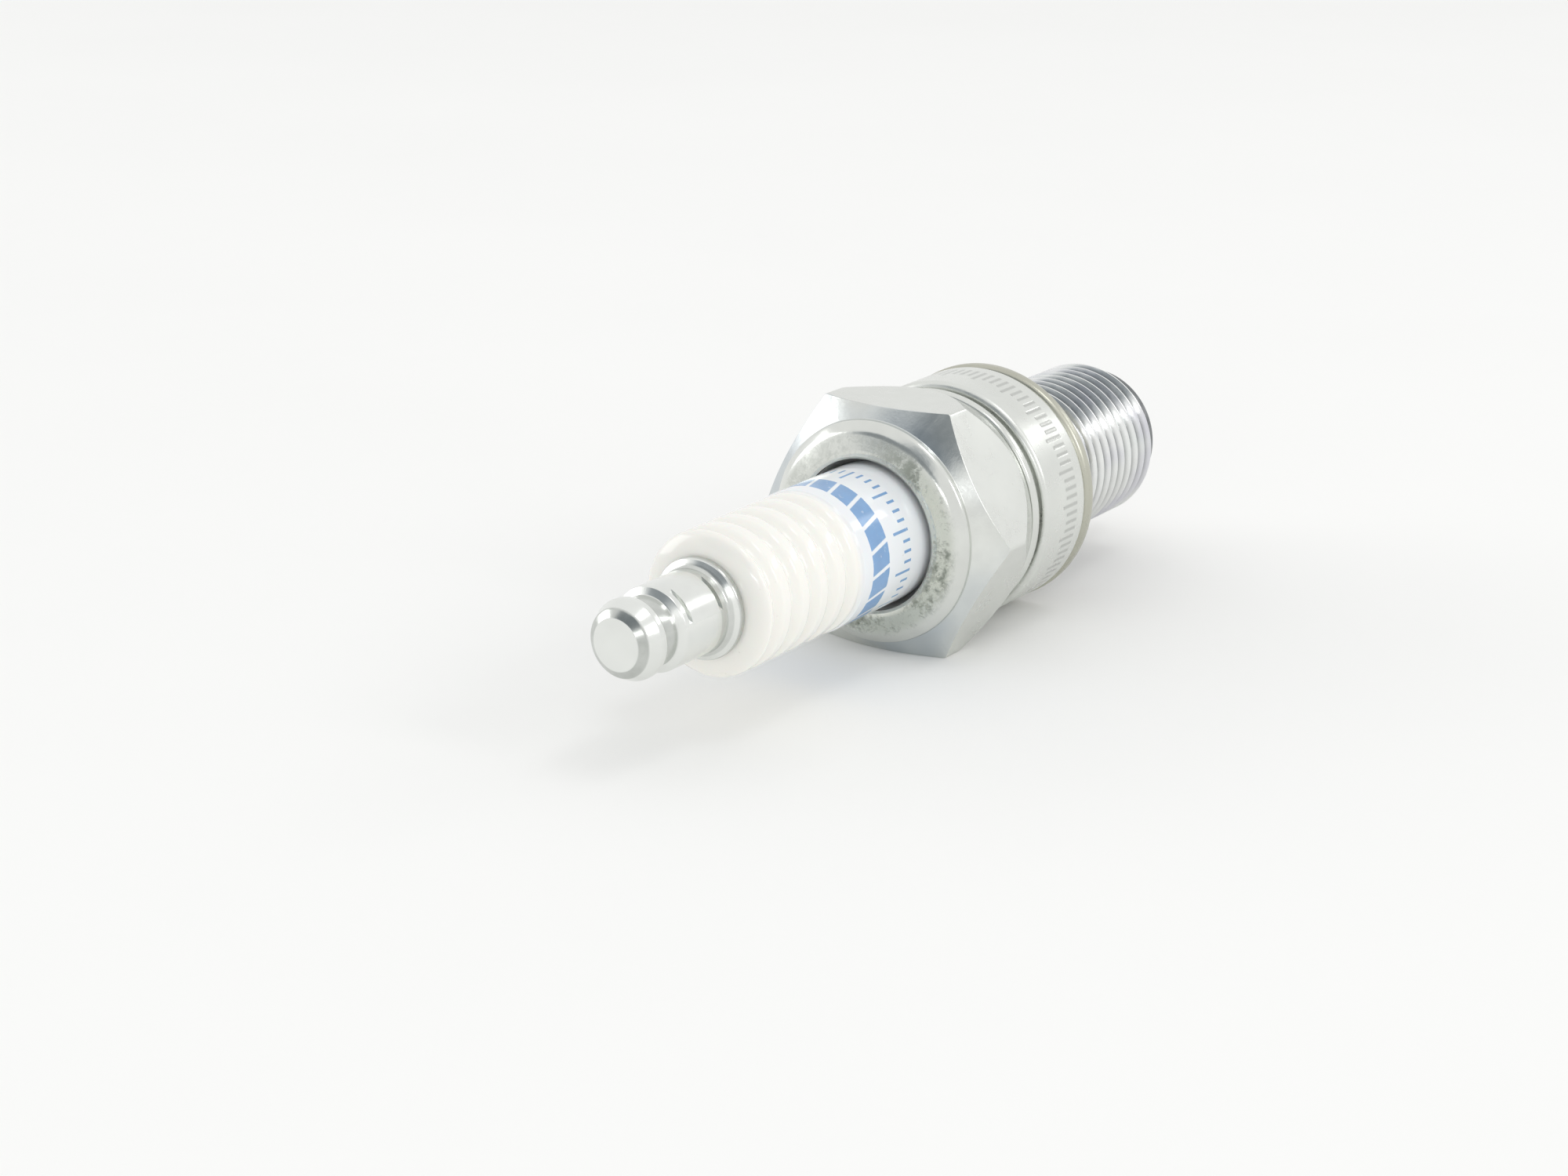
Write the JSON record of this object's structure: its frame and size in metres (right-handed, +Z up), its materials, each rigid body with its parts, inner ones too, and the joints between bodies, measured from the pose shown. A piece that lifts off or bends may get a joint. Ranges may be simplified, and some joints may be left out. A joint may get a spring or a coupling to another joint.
{
  "type": "spark plug",
  "caption": "Spark plug with a gasket seat, wrench hexagon, ribbed glazed insulator, removable terminal nut and a hooked ground electrode.",
  "frame": {"origin": "centre of the gasket's sealing face, on the thread's axis", "axes": "+X along the plug's axis from the sealing face to the terminal, the thread lies on -X; +Z up, square to one hexagon flat, with the opposite flat facing down; the ground electrode's leg is on the -Z side"},
  "size_m": [0.0774, 0.024, 0.0208],
  "materials": {
    "plated_shell": "bright zinc plating, satin on the flats and the collar",
    "plated_nut": "bright nickel plating",
    "plated_stud": "plated steel",
    "gasket_steel": "folded steel with a pale olive passivation",
    "nickel_alloy": "drawn nickel alloy",
    "packing_steel": "bare steel wire and sheet",
    "copper": "drawn copper",
    "glazed_alumina": "glossy white glaze with a printed blue band",
    "talc_powder": "pressed talc",
    "conductive_glass": "fused copper and glass, taken as opaque",
    "resistor_glass": "fused carbon and glass"
  },
  "bodies": {
    "plug": {"metal_shell": "plated_shell", "ground_electrode": "nickel_alloy", "ceramic_insulator": "glazed_alumina", "insulator_seat_washer": "packing_steel", "lower_packing_ring": "packing_steel", "talc_packing": "talc_powder", "upper_packing_ring": "packing_steel", "centre_electrode": "nickel_alloy", "electrode_copper_core": "copper", "lower_glass_seal": "conductive_glass", "resistor": "resistor_glass", "upper_glass_seal": "conductive_glass", "terminal_stud": "plated_stud"},
    "terminal_nut": {"terminal_nut": "plated_nut"},
    "sealing_gasket": {"sealing_gasket": "gasket_steel"}
  },
  "joints": [
    {"name": "nut_lifts_off_stud", "type": "slide", "parent": "plug", "child": "terminal_nut", "axis": [1, 0, 0], "range_m": [0, 0.009]},
    {"name": "gasket_turns_on_shank", "type": "hinge", "parent": "plug", "child": "sealing_gasket", "pos_m": [0.00065, 0, 0], "axis": [1, 0, 0], "continuous": true}
  ]
}
